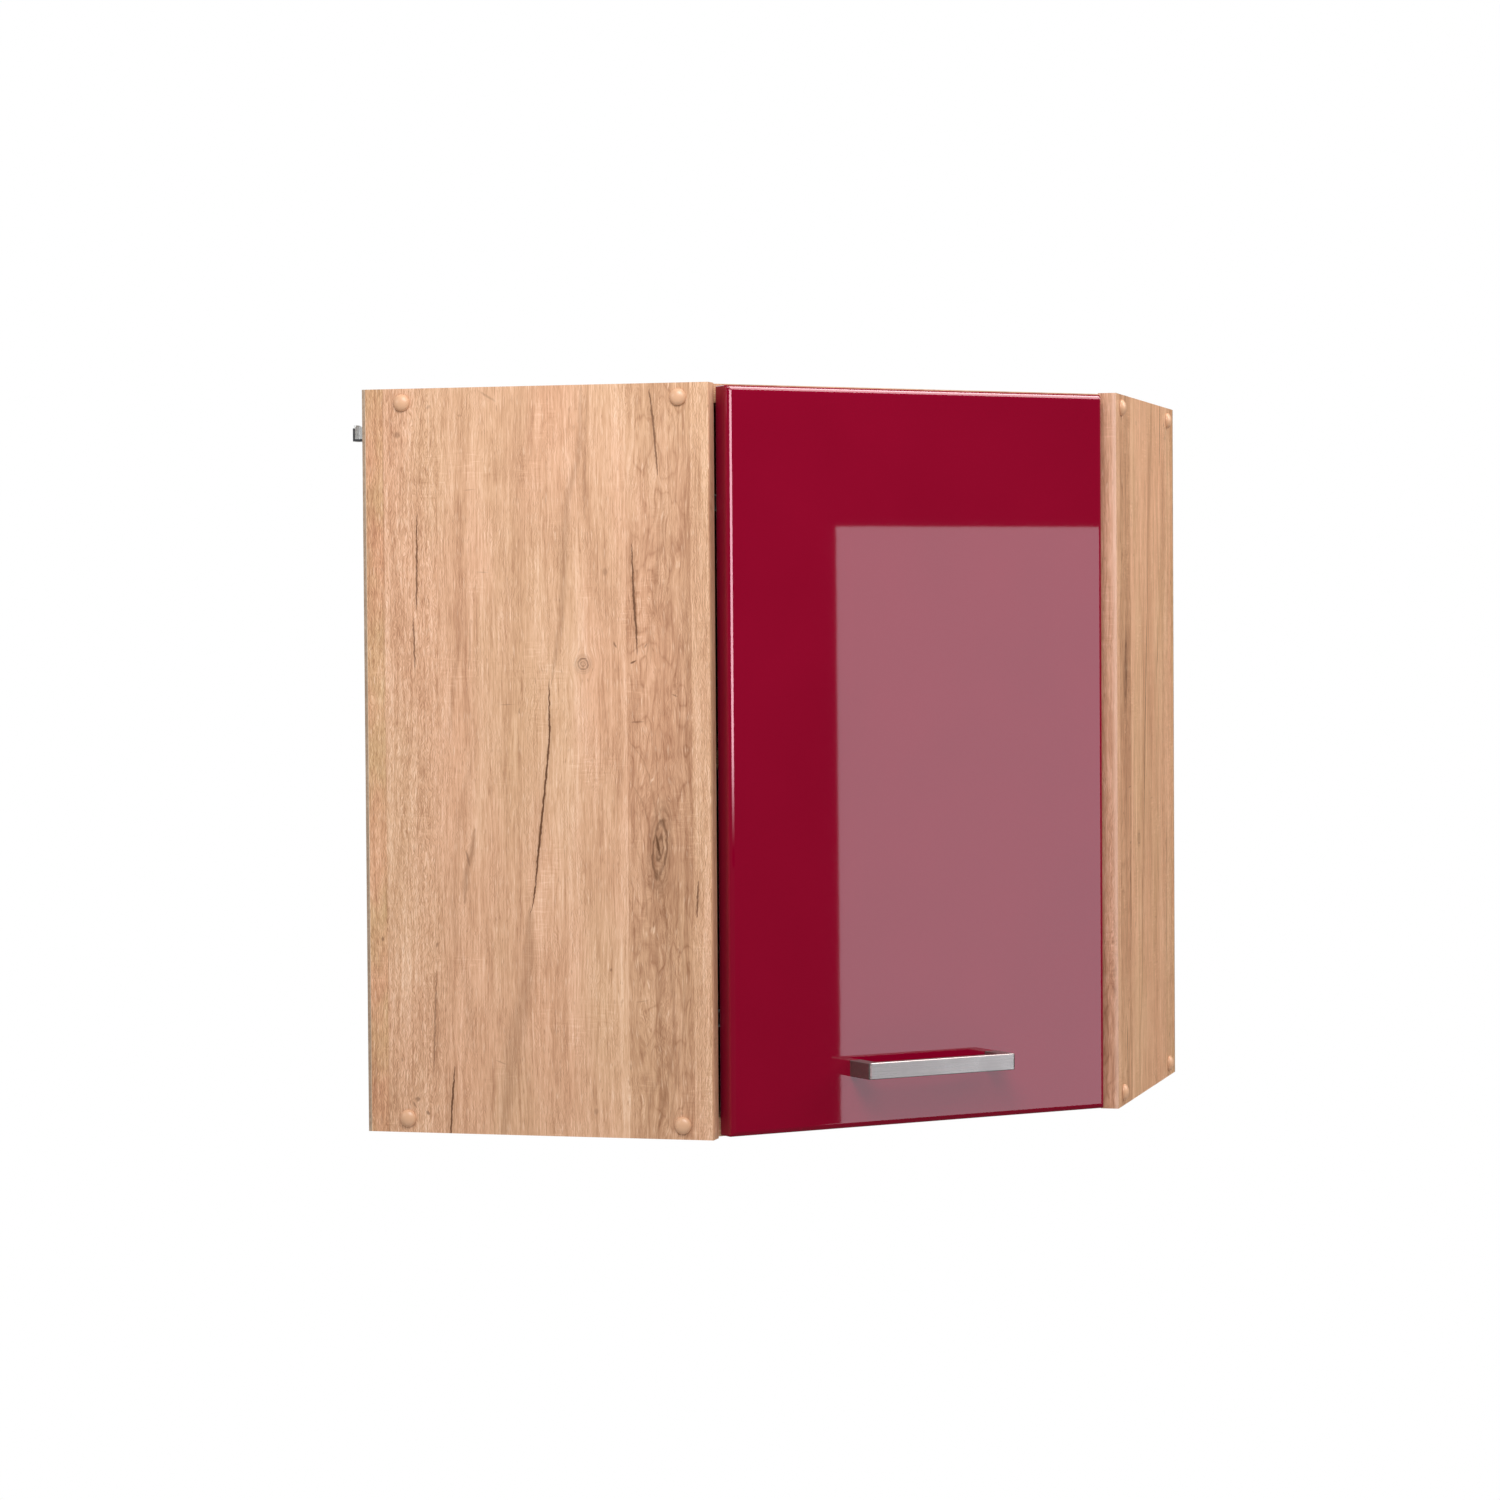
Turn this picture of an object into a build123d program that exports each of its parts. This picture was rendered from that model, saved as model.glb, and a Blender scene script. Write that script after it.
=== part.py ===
from build123d import *
import os
from math import sqrt, sin, cos, radians, atan2, degrees, hypot

os.makedirs("parts", exist_ok=True)

# ---------------------------------------------------------------- sizes, mm
# Frame: the two walls meet on the Z axis. +X runs along the rear wall (y = 0),
# -Y runs along the left wall (x = 0), z = 0 is the cabinet's underside.
S = 600.0            # footprint along each wall
D = 308.0            # side panel's front edge, measured from its wall
H = 636.0            # overall height
T = 16.0             # panel thickness
HDF = 3.0            # hardboard back
BAND = 0.8           # edge band on the visible front edges

DIAG = S + D         # x - y on the line through the side panels' outer corners
FRONT_SETBACK = 22.0 # top and bottom panels' diagonal edge behind that line, clear of the swinging door
SHELF_SETBACK = 46.0
SHELF_Z = 310.0      # underside of the shelf

DOOR_W = 381.0
DOOR_Z0 = 1.75
DOOR_H = 632.0
DOOR_T = 19.0
DOOR_PROUD = 3.0     # door face in front of the diagonal line
DOOR_R = 5.0         # rounding of the door's front edges
DOOR_CORNER_R = 1.2

CAP_D = 14.6
CAP_H = 4.8
CAP_X_REAR = 36.0    # cap centre from the wall
CAP_X_FRONT = 26.5   # cap centre from the front edge
CAP_Z = 12.0         # cap centre from top and bottom

HANDLE_L = 148.0
HANDLE_H = 14.0
HANDLE_PROUD = 32.0
HANDLE_LEG = 11.0
HANDLE_BAR = 8.0
HANDLE_Z = 53.2
HANDLE_PITCH = 136.0

HINGE_Z = (100.0, H - 100.0)
HINGE_TAG = ("lower", "upper")
CUP_R = 17.5
CUP_DEPTH = 13.4
CUP_W = -DOOR_W / 2 + 22.5
# hinge pivots in the door's plan frame (w along the door, o outwards)
A1 = (-166.4, -27.3)
C1 = (-181.0, -6.5)
A2 = (-151.8, -24.6)
C2 = (-179.4, -12.8)
PIN_A = 1.5
PIN_C = 1.25
RUN = 0.05           # running clearance on radius

HOOK_Z = 593.0
HOOK_T = 2.0
HOOK_OUT = 16.0      # hook's reach behind the cabinet's back
HOOK_H = 14.0
HOOK_LIFT = 4.0      # height adjustment each way

MID = (DIAG / 2, -DIAG / 2)
R2 = sqrt(2.0)
DOORFRAME = Pos(MID[0], MID[1], 0) * Rot(0, 0, 45)   # local x = w, local y = -o


def box(x0, x1, y0, y1, z0, z1):
    return Pos((x0 + x1) / 2, (y0 + y1) / 2, (z0 + z1) / 2) * Box(x1 - x0, y1 - y0, z1 - z0)


def poly(points, z0, z1):
    face = make_face(Polyline(*[(x, y, z0) for x, y in points], close=True).edges())
    return extrude(face, z1 - z0, dir=(0, 0, 1))


def cyl_x(r, x0, x1, y, z):
    return Pos((x0 + x1) / 2, y, z) * Rot(0, 90, 0) * Cylinder(r, x1 - x0)


def cyl_y(r, y0, y1, x, z):
    return Pos(x, (y0 + y1) / 2, z) * Rot(90, 0, 0) * Cylinder(r, y1 - y0)


def cyl_z(r, z0, z1, x, y):
    return Pos(x, y, (z0 + z1) / 2) * Cylinder(r, z1 - z0)


def wo(w, o):
    return (MID[0] + (w + o) / R2, MID[1] + (w - o) / R2)


def mirror_diag(shape):
    # swaps the two walls: (x, y) -> (-y, -x)
    return mirror(shape, about=Plane(origin=(0, 0, 0), z_dir=(1, 1, 0)))


def save(name, *solids):
    out = []
    for s in solids:
        out += list(s.solids())
    shape = out[0] if len(out) == 1 else Compound(children=out)
    export_step(shape, f"parts/{name}.step")


def cone_x(r0, r1, x0, x1, y, z):
    # r0 at x0, r1 at x1
    return Pos((x0 + x1) / 2, y, z) * Rot(0, 90, 0) * Cone(r0, r1, x1 - x0)


# ------------------------------------------------------- screws of the carcass
# One-piece joinery screws through each side panel into top and bottom panels,
# with a countersunk head and a hexagon recess that the cap's stem plugs into.
SCREW_L = 50.0


def carcass_screw_y(x, z):
    # driven from the panel's outer face y = -S inwards (+Y)
    y = -S
    s = Pos(x, y + 1.0 + 1.5, z) * Rot(-90, 0, 0) * Cone(5.0, 3.5, 3.0)
    s += cyl_y(3.5, y + 4.0, y + 16.0, x, z)
    s += cyl_y(2.45, y + 16.0, y + SCREW_L, x, z)
    hexa = extrude(RegularPolygon(2.0, 6), 2.6)
    s -= Pos(x, y + 1.0, z) * Rot(-90, 0, 0) * hexa
    return s


def screw_hole_y(x, z):
    y = -S
    h = Pos(x, y + 1.0 + 1.5, z) * Rot(-90, 0, 0) * Cone(5.0, 3.5, 3.0)
    h += cyl_y(5.0, y - 1, y + 1.0, x, z)
    h += cyl_y(3.5, y + 4.0, y + 16.0, x, z)
    return h


def cap_y(x, z):
    # shallow dome with a rim lying on the panel, and a stem in the hexagon
    y = -S
    rr = (CAP_D / 2) ** 2
    crown = CAP_H - 0.7
    R = (rr + crown * crown) / (2 * crown)
    dome = Pos(x, y - CAP_H + R, z) * Sphere(R)
    dome &= cyl_y(CAP_D / 2, y - CAP_H - 1, y - 0.7, x, z)
    dome += cyl_y(CAP_D / 2, y - 0.7, y, x, z)
    dome += cyl_y(4.9, y, y + 1.0, x, z)
    hexa = extrude(RegularPolygon(1.95, 6), 3.4)
    dome += Pos(x, y, z) * Rot(-90, 0, 0) * hexa
    return dome


cap_pos = [(CAP_X_REAR, CAP_Z), (D - CAP_X_FRONT, CAP_Z),
           (CAP_X_REAR, H - CAP_Z), (D - CAP_X_FRONT, H - CAP_Z)]

# wooden dowels, two per joint, half in each panel
DOWEL_R = 4.0
DOWEL_L = 30.0
dowel_pos = [(110.0, 8.0), (210.0, 8.0), (110.0, H - 8.0), (210.0, H - 8.0)]


def dowel_y(x, z, r=DOWEL_R, extra=0.0):
    y0 = -S + 6.0 - extra
    d = cyl_y(r, y0, y0 + DOWEL_L + 2 * extra, x, z)
    return d


# --------------------------------------------------------------- side panels
PIN_R = 2.5
pin_rows = (60.0, D - 62.0)
pin_levels = [SHELF_Z - PIN_R - 64 + 32 * i for i in range(5)]   # middle one carries the shelf

panel = box(HDF, D - BAND, -S, -S + T, 0, H)
for x, z in cap_pos:
    panel -= screw_hole_y(x, z)
for x, z in dowel_pos:
    panel -= dowel_y(x, z)
for x in pin_rows:
    for z in pin_levels:
        panel -= cyl_y(PIN_R, -S + T - 10, -S + T + 1, x, z)

plate_x = D - 37.0      # mounting plate screw line
plain_panel = panel
left_panel = panel
for hz in HINGE_Z:
    for dz in (-16, 16):
        left_panel -= cyl_y(1.7, -S + T - 11.5, -S + T + 1, plate_x, hz + dz)
hang_screw = [(40.0, 611.0), (44.0, 575.0)]
for x, z in hang_screw:
    left_panel -= cyl_y(1.7, -S + T - 11.0, -S + T + 1, x, z)
    plain_panel -= cyl_y(1.7, -S + T - 11.0, -S + T + 1, x, z)
save("side_panel_left", left_panel)
save("side_panel_right", mirror_diag(plain_panel))

band = box(D - BAND, D, -S, -S + T, 0, H)
save("edge_band_left", band)
save("edge_band_right", mirror_diag(band))

left_screws = [carcass_screw_y(x, z) for x, z in cap_pos]
save("carcass_screws", *left_screws, *[mirror_diag(s) for s in left_screws])
left_caps = [cap_y(x, z) for x, z in cap_pos]
save("screw_caps_left", *left_caps)
save("screw_caps_right", *[mirror_diag(s) for s in left_caps])
left_dowels = [dowel_y(x, z) for x, z in dowel_pos]
save("wood_dowels", *left_dowels, *[mirror_diag(s) for s in left_dowels])

# --------------------------------------------------- top and bottom panels
inner = S - T
cut = DIAG + R2 * (-FRONT_SETBACK)        # x - y on the diagonal edge
cut_b = DIAG + R2 * (-FRONT_SETBACK - BAND)
pent = [(HDF, -HDF), (inner, -HDF), (inner, inner - cut_b), (cut_b - inner, -inner), (HDF, -inner)]


def horizontal(z0, z1, screw_z, dowel_z):
    p = poly(pent, z0, z1)
    for x in (CAP_X_REAR, D - CAP_X_FRONT):
        c = cyl_y(2.45, -S + 16, -S + SCREW_L + 1, x, screw_z)
        p -= c
        p -= mirror_diag(c)
    for x in (110.0, 210.0):
        c = dowel_y(x, dowel_z)
        p -= c
        p -= mirror_diag(c)
    return p


save("bottom_panel", horizontal(0, T, CAP_Z, 8.0))
save("top_panel", horizontal(H - T, H, H - CAP_Z, H - 8.0))

bandpoly = [(inner, inner - cut_b), (inner, inner - cut), (cut - inner, -inner), (cut_b - inner, -inner)]
save("edge_bands_diagonal", poly(bandpoly, 0, T), poly(bandpoly, H - T, H))

# ----------------------------------------------------------------- the backs
win_y0, win_y1, win_z0, win_z1 = -S + T + 1.0, -S + T + 17.5, 586.0, 614.0
window = box(-1, HDF + 1, win_y0, win_y1, win_z0, win_z1)
back_l = box(0, HDF, -S, -HDF, 0, H) - window
back_r = box(0, S, -HDF, 0, 0, H) - mirror_diag(window)

POST = 20.0
save("back_corner_post", box(HDF, HDF + POST, -HDF - POST, -HDF, T, H - T))

# small nails in the backs, with their heads flush
nails_l = []
for z in (40.0, 180.0, 320.0, 460.0, 570.0):
    nails_l.append((-S + 8.0, z))
for y in (-480.0, -340.0, -200.0, -60.0):
    nails_l.append((y, 8.0))
    nails_l.append((y, H - 8.0))


def nail_x(y, z):
    n = cyl_x(2.1, 0, 0.6, y, z)
    n += cyl_x(0.7, 0.6, 18.0, y, z)
    return n


for y, z in nails_l:
    head = cyl_x(2.1, -1, 0.6, y, z)
    back_l -= head
    back_r -= mirror_diag(head)
save("back_panel_left", back_l)
save("back_panel_right", back_r)
nail_solids = [nail_x(y, z) for y, z in nails_l]
nail_solids += [mirror_diag(n) for n in nail_solids]
save("back_panel_nails", *nail_solids)

# ------------------------------------------------------------------ the shelf
g = 1.0
sc = DIAG + R2 * (-SHELF_SETBACK)
sc_b = DIAG + R2 * (-SHELF_SETBACK - BAND)
si = inner - g
notch = HDF + POST + 2.0
sp = [(notch, -HDF - 1), (si, -HDF - 1), (si, si - sc_b), (sc_b - si, -si), (HDF + 1, -si), (HDF + 1, -notch), (notch, -notch)]
save("shelf", poly(sp, SHELF_Z, SHELF_Z + T))
save("edge_band_shelf", poly([(si, si - sc_b), (si, si - sc), (sc - si, -si), (sc_b - si, -si)], SHELF_Z, SHELF_Z + T))


def shelf_pin(x):
    z = pin_levels[2]
    p = cyl_y(PIN_R, -S + T - 8.0, -S + T + 9.0, x, z)
    p += cyl_y(4.0, -S + T, -S + T + 1.4, x, z - 2.1)
    return p


pins = [shelf_pin(x) for x in pin_rows]
save("shelf_pins", *pins, *[mirror_diag(p) for p in pins])

# ------------------------------------------------------------------- the door
y_front = -DOOR_PROUD
y_back = y_front + DOOR_T
door = box(-DOOR_W / 2, DOOR_W / 2, y_front, y_back, DOOR_Z0, DOOR_Z0 + DOOR_H)
door = fillet(door.edges().filter_by(Axis.Y), DOOR_CORNER_R)
front_edges = [e for e in door.edges() if abs(e.bounding_box().min.Y - y_front) < 1e-4 and abs(e.bounding_box().max.Y - y_front) < 1e-4]
try:
    door = fillet(front_edges, DOOR_R)
except Exception as err:
    print("door fillet", err)
    door = box(-DOOR_W / 2, DOOR_W / 2, y_front, y_back, DOOR_Z0, DOOR_Z0 + DOOR_H)
    door = fillet(door.faces().sort_by(Axis.Y)[0].edges(), DOOR_R)
for hz in HINGE_Z:
    door -= cyl_y(CUP_R, y_back - CUP_DEPTH, y_back + 1, CUP_W, hz)
    for dz in (-22.5, 22.5):
        door -= cyl_y(1.5, y_back - 11.0, y_back + 1, CUP_W + 5.5, hz + dz)
for s in (-1, 1):
    door -= cyl_y(2.25, y_front - 1, y_back + 1, s * HANDLE_PITCH / 2, HANDLE_Z)
save("door_panel", DOORFRAME * door)

# clear round buffers on the back of the door's free side, up to the panels
BUMPER_H = FRONT_SETBACK + DOOR_PROUD - DOOR_T - 0.3
bump = []
for z in (DOOR_Z0 + 9.0, DOOR_Z0 + DOOR_H - 9.0):
    b = cyl_y(4.5, y_back, y_back + BUMPER_H, DOOR_W / 2 - 26.0, z)
    b = fillet(b.edges().group_by(Axis.Y)[-1], 1.6)
    bump.append(DOORFRAME * b)
save("door_bumpers", *bump)

# ----------------------------------------------------------------- the handle
hf = y_front - HANDLE_PROUD
hl = HANDLE_L / 2
outer = [(-hl, y_front), (-hl, hf), (hl, hf), (hl, y_front),
         (hl - HANDLE_LEG, y_front), (hl - HANDLE_LEG, hf + HANDLE_BAR),
         (-hl + HANDLE_LEG, hf + HANDLE_BAR), (-hl + HANDLE_LEG, y_front)]
z0h, z1h = HANDLE_Z - HANDLE_H / 2, HANDLE_Z + HANDLE_H / 2
handle = poly(outer, z0h, z1h)
vert = [e for e in handle.edges().filter_by(Axis.Z)]
outer_v = [e for e in vert if abs(e.center().Y - hf) < 1e-4]
inner_v = [e for e in vert if abs(e.center().Y - (hf + HANDLE_BAR)) < 1e-4]
handle = fillet(outer_v, 2.2)
inner_v = [e for e in handle.edges().filter_by(Axis.Z) if abs(e.center().Y - (hf + HANDLE_BAR)) < 1e-4]
handle = fillet(inner_v, 2.0)
long_edges = [e for e in handle.edges() if (abs(e.center().Z - z0h) < 1e-4 or abs(e.center().Z - z1h) < 1e-4)
              and not (e.geom_type == GeomType.LINE and abs(e.center().Y - y_front) < 1e-4)]
try:
    handle = chamfer(long_edges, 0.5)
except Exception as err:
    print("handle chamfer", err)
for s in (-1, 1):
    handle -= cyl_y(1.7, y_front - 14.0, y_front + 1, s * HANDLE_PITCH / 2, HANDLE_Z)
save("handle", DOORFRAME * handle)

hs = []
for s in (-1, 1):
    x = s * HANDLE_PITCH / 2
    k = cyl_y(1.7, y_front - 12.0, y_back, x, HANDLE_Z)
    head = cyl_y(3.9, y_back, y_back + 2.3, x, HANDLE_Z)
    head = fillet(head.edges().group_by(Axis.Y)[-1], 1.2)
    head -= box(x - 2.2, x + 2.2, y_back + 1.2, y_back + 3, HANDLE_Z - 0.45, HANDLE_Z + 0.45)
    head -= box(x - 0.45, x + 0.45, y_back + 1.2, y_back + 3, HANDLE_Z - 2.2, HANDLE_Z + 2.2)
    hs.append(DOORFRAME * (k + head))
save("handle_screws", *hs)

# ------------------------------------------------------------ concealed hinges
# Everything below is drawn for one hinge around z = 0 and then lifted.
cup_in = CUP_R - 0.8
FL = 1.2


def loc(p):
    return (p[0], -p[1])


def capsule(p, q, r, z0, z1):
    # flat bar with round ends from p to q
    d = hypot(q[0] - p[0], q[1] - p[1])
    a = degrees(atan2(q[1] - p[1], q[0] - p[0]))
    c = ((p[0] + q[0]) / 2, (p[1] + q[1]) / 2)
    b = Pos(c[0], c[1], (z0 + z1) / 2) * Rot(0, 0, a) * Box(d, 2 * r, z1 - z0)
    return b + cyl_z(r, z0, z1, *p) + cyl_z(r, z0, z1, *q)


a1, c1, a2, c2 = loc(A1), loc(C1), loc(A2), loc(C2)

# cup: round pot in the door with a screw flange
cup = cyl_y(CUP_R, y_back - CUP_DEPTH, y_back + FL, CUP_W, 0)
fl = Pos(CUP_W + 2.0, y_back + FL / 2, 0) * Box(26.0, FL, 56.0)
fl = fillet(fl.edges().filter_by(Axis.Y), 6.0)
cup += fl
cup -= cyl_y(cup_in, y_back - CUP_DEPTH + 1.0, y_back + FL + 1, CUP_W, 0)
for dz in (-22.5, 22.5):
    cup -= cyl_y(1.9, y_back - 1, y_back + FL + 1, CUP_W + 5.5, dz)
# bosses beside the links carry the two pins
PINLEN = 9.6
for z0, z1 in ((6.0, 14.0), (-14.0, -6.0)):
    boss = box(CUP_W - cup_in - 0.5, CUP_W - 7.6, y_back - CUP_DEPTH + 0.5, y_back, z0, z1)
    boss &= cyl_y(cup_in + 0.3, y_back - CUP_DEPTH, y_back + 1, CUP_W, 0)
    cup += boss
for p in (c1, c2):
    cup -= cyl_z(PIN_C, -PINLEN, PINLEN, *p)
# the outer link's pin runs right through; the inner link turns on two stubs,
# so that the outer link passes between them as the door opens
STUB = 2.7
cup_pin_solids = [cyl_z(PIN_C, -PINLEN, PINLEN, *c1), cyl_z(PIN_C, STUB, PINLEN, *c2), cyl_z(PIN_C, -PINLEN, -STUB, *c2)]


def cup_screw(dz):
    x = CUP_W + 5.5
    k = cyl_y(1.5, y_back - 10.5, y_back + FL, x, dz)
    head = cyl_y(3.4, y_back + FL, y_back + FL + 1.7, x, dz)
    head = fillet(head.edges().group_by(Axis.Y)[-1], 0.9)
    head -= box(x - 2.0, x + 2.0, y_back + FL + 0.8, y_back + FL + 3, dz - 0.4, dz + 0.4)
    head -= box(x - 0.4, x + 0.4, y_back + FL + 0.8, y_back + FL + 3, dz - 2.0, dz + 2.0)
    return k + head


# outer link: one cranked bar in the middle
KO = (C1[0] + 13.7 * cos(radians(-2.6)), C1[1] + 13.7 * sin(radians(-2.6)))
ko = loc(KO)
OL = 2.4             # half its width
outer_link = capsule(c1, ko, 2.1, -OL, OL) + capsule(ko, a1, 2.1, -OL, OL) + cyl_z(2.8, -OL, OL, *a1)
outer_link -= cyl_z(PIN_C + RUN, -8, 8, *c1)
outer_link -= cyl_z(PIN_A + RUN, -8, 8, *a1)

# inner link: two cranked cheeks joined by a web; their claws stand clear
# around the two stubs
KI = (C2[0] + 7.2, C2[1] + 0.6)
ki = loc(KI)
CL = 2.95            # claw's inner radius
CC = (c2[0], c2[1] + 0.2)
CH0, CH1 = 2.9, 4.1
inner_link = None
for z0, z1 in ((CH0, CH1), (-CH1, -CH0)):
    cheek = capsule((c2[0] + 4.1, c2[1] + 0.2), ki, 1.25, z0, z1) + capsule(ki, a2, 1.6, z0, z1) + cyl_z(2.8, z0, z1, *a2)
    claw = cyl_z(CL + 0.7, z0, z1, *CC)
    # the claw is open towards the pot's floor and the hinged edge
    claw -= box(c2[0] - 8, c2[0] + 8, c2[1] - 8, c2[1] - 0.2, -6, 6)
    claw -= box(c2[0] - 8, c2[0] - 1.6, c2[1] - 8, c2[1] + 8, -6, 6)
    cheek += claw
    inner_link = cheek if inner_link is None else inner_link + cheek
inner_link += box(a2[0] + 1.7, a2[0] + 2.8, a2[1] - 2.4, a2[1] + 2.4, -CH1, CH1)
inner_link -= cyl_z(CL, -8, 8, *CC)
inner_link -= cyl_z(PIN_A + RUN, -8, 8, *a2)

# arm: cranked channel from the mounting plate to the two arm pins
A1W, A2W = wo(*A1), wo(*A2)
yi = -S + T
ARM_Z0, ARM_Z1 = 5.8, 7.0
P = [(250.0, yi + 3.0), (250.0, yi + 9.8), (291.0, yi + 9.8), (310.4, yi + 34.6), (326.0, yi + 46.0),
     (332.6, yi + 43.6), (333.2, yi + 38.2), (320.2, yi + 28.4), (304.0, yi + 9.0), (291.0, yi + 3.0)]
Q = [(249.0, yi + 2.0), (249.0, yi + 8.3), (291.8, yi + 8.3), (311.5, yi + 33.5), (327.2, yi + 44.9),
     (340.0, yi + 44.0), (345.0, yi + 33.0), (322.0, yi + 20.0), (304.0, yi + 2.0)]
arm = poly(P, -ARM_Z1, ARM_Z1) - poly(Q, -ARM_Z0, ARM_Z0)
arm -= cyl_z(PIN_A, -9, 9, *A1W)
arm -= cyl_z(PIN_A, -9, 9, *A2W)
for x in (258.0, 283.0):
    arm -= cyl_y(2.0, yi + 6.0, yi + 12.0, x, 0)
arm_pin_solids = [cyl_z(PIN_A, -ARM_Z1, ARM_Z1, *A1W), cyl_z(PIN_A, -ARM_Z1, ARM_Z1, *A2W)]

# mounting plate: rail with two screw wings on the side panel
plate = box(248.0, 292.0, yi, yi + 8.0, -5.4, 5.4)
wing = Pos(plate_x, yi + 1.4, 0) * Box(13.0, 2.8, 50.0)
wing = fillet(wing.edges().filter_by(Axis.Y), 4.0)
plate += wing
for dz in (-16, 16):
    plate -= cyl_y(1.9, yi - 1, yi + 4, plate_x, dz)
for x in (258.0, 283.0):
    plate -= cyl_y(1.9, yi + 1.5, yi + 9, x, 0)


def plate_screw(dz):
    k = cyl_y(1.7, yi - 11.0, yi + 2.8, plate_x, dz)
    head = cyl_y(3.5, yi + 2.8, yi + 4.8, plate_x, dz)
    head = fillet(head.edges().group_by(Axis.Y)[-1], 1.0)
    head -= box(plate_x - 2.0, plate_x + 2.0, yi + 3.9, yi + 6, dz - 0.4, dz + 0.4)
    head -= box(plate_x - 0.4, plate_x + 0.4, yi + 3.9, yi + 6, dz - 2.0, dz + 2.0)
    return k + head


def adjust_screw(x):
    k = cyl_y(1.9, yi + 2.0, yi + 9.8, x, 0)
    head = cyl_y(3.6, yi + 9.8, yi + 11.8, x, 0)
    head -= box(x - 2.2, x + 2.2, yi + 10.8, yi + 13, -0.45, 0.45)
    head -= box(x - 0.45, x + 0.45, yi + 10.8, yi + 13, -2.2, 2.2)
    return k + head


cup_pins, cup_screws, arm_pins, plate_screws, adjusters = [], [], [], [], []
for hz, tag in zip(HINGE_Z, HINGE_TAG):
    up = Pos(0, 0, hz)
    save(f"hinge_cup_{tag}", DOORFRAME * up * cup)
    save(f"hinge_outer_link_{tag}", DOORFRAME * up * outer_link)
    save(f"hinge_inner_link_{tag}", DOORFRAME * up * inner_link)
    save(f"hinge_arm_{tag}", up * arm)
    save(f"mounting_plate_{tag}", up * plate)
    cup_pins += [DOORFRAME * up * p for p in cup_pin_solids]
    cup_screws += [DOORFRAME * up * cup_screw(dz) for dz in (-22.5, 22.5)]
    arm_pins += [up * p for p in arm_pin_solids]
    plate_screws += [up * plate_screw(dz) for dz in (-16, 16)]
    adjusters += [up * adjust_screw(x) for x in (258.0, 283.0)]
save("hinge_cup_pins", *cup_pins)
save("hinge_cup_screws", *cup_screws)
save("hinge_arm_pins", *arm_pins)
save("mounting_plate_screws", *plate_screws)
save("hinge_adjusting_screws", *adjusters)

# ------------------------------------------------------------ cabinet hangers
# A housing is screwed to each side panel under the top panel. A carriage in
# it moves up and down, and the hook slides in the carriage towards the wall.
hx0, hx1 = HDF + 1.0, 62.0
hy0, hy1 = yi, yi + 18.0
hz0, hz1 = 568.0, H - T - 1.0
wall = 1.8
housing = box(hx0, hx1, hy0, hy1, hz0, hz1)
housing = fillet(housing.edges().filter_by(Axis.Y), 3.0)
housing -= box(hx0 - 1, hx1 - wall, hy0 + 2.2, hy1 - wall, 582.0, hz1 - wall)
# screw towers stand solid below and beside the cavity
housing -= cyl_y(2.0, hy0 - 1, hy1 + 1, hang_screw[1][0], hang_screw[1][1])
housing -= cyl_y(3.8, hy1 - 3.0, hy1 + 1, hang_screw[1][0], hang_screw[1][1])
housing -= cyl_y(2.0, hy0 - 1, hy0 + 3, hang_screw[0][0], hang_screw[0][1])
housing -= cyl_y(4.2, hy1 - 3, hy1 + 1, hang_screw[0][0], hang_screw[0][1])
dz_screw = 600.5
hz_screw = 613.0
housing -= box(hx1 - 4, hx1 + 1, yi + 6.9, yi + 13.1, dz_screw - HOOK_LIFT - 3.1, dz_screw + HOOK_LIFT + 3.1)
housing -= cyl_x(2.6, hx1 - 4, hx1 + 1, yi + 10.0, hz_screw)

# hook: flat strip with an upturned lip behind the cabinet, and a web between
# the two on the side away from the side panel, with a sloping top edge
hky0, hky1 = yi + 3.6, yi + 15.4
hook = box(-HOOK_OUT, 47.0, hky0, hky1, HOOK_Z, HOOK_Z + HOOK_T)
lip_solid = box(-HOOK_OUT, -HOOK_OUT + HOOK_T, hky0, hky1, HOOK_Z, HOOK_Z + HOOK_H)
corner = [(hky0 - 1, HOOK_Z + HOOK_H - 4.0), (hky0 - 1, HOOK_Z + HOOK_H + 1), (hky0 + 4.0, HOOK_Z + HOOK_H + 1)]
cut_face = make_face(Polyline(*[(-HOOK_OUT - 1, y, z) for y, z in corner], close=True).edges())
lip_solid -= extrude(cut_face, HOOK_T + 2, dir=(1, 0, 0))
hook += lip_solid
web_pts = [(-HOOK_OUT, HOOK_Z), (-HOOK_OUT, HOOK_Z + HOOK_H), (-HOOK_OUT + HOOK_T, HOOK_Z + HOOK_H),
           (-6.0, HOOK_Z + 9.0), (-1.5, HOOK_Z + 9.0), (-1.5, HOOK_Z)]
web_face = make_face(Polyline(*[(x, hky1, z) for x, z in web_pts], close=True).edges())
hook += extrude(web_face, HOOK_T, dir=(0, -1, 0))
hook += box(45.0, 47.0, hky0, hky1, HOOK_Z, HOOK_Z + 11.5)
hook -= cyl_x(2.6, 44, 48, yi + 10.0, dz_screw)

# carriage: block round the strip
car = box(16.0, 34.0, hy0 + 2.5, hy1 - wall - 0.3, 586.5, 606.0)
car -= box(15.0, 35.0, hky0 - 0.1, hky1 + 0.1, HOOK_Z - 0.1, HOOK_Z + HOOK_T + 0.1)
car = fillet(car.edges().filter_by(Axis.Y).group_by(Axis.Z)[-1], 1.5)


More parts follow.
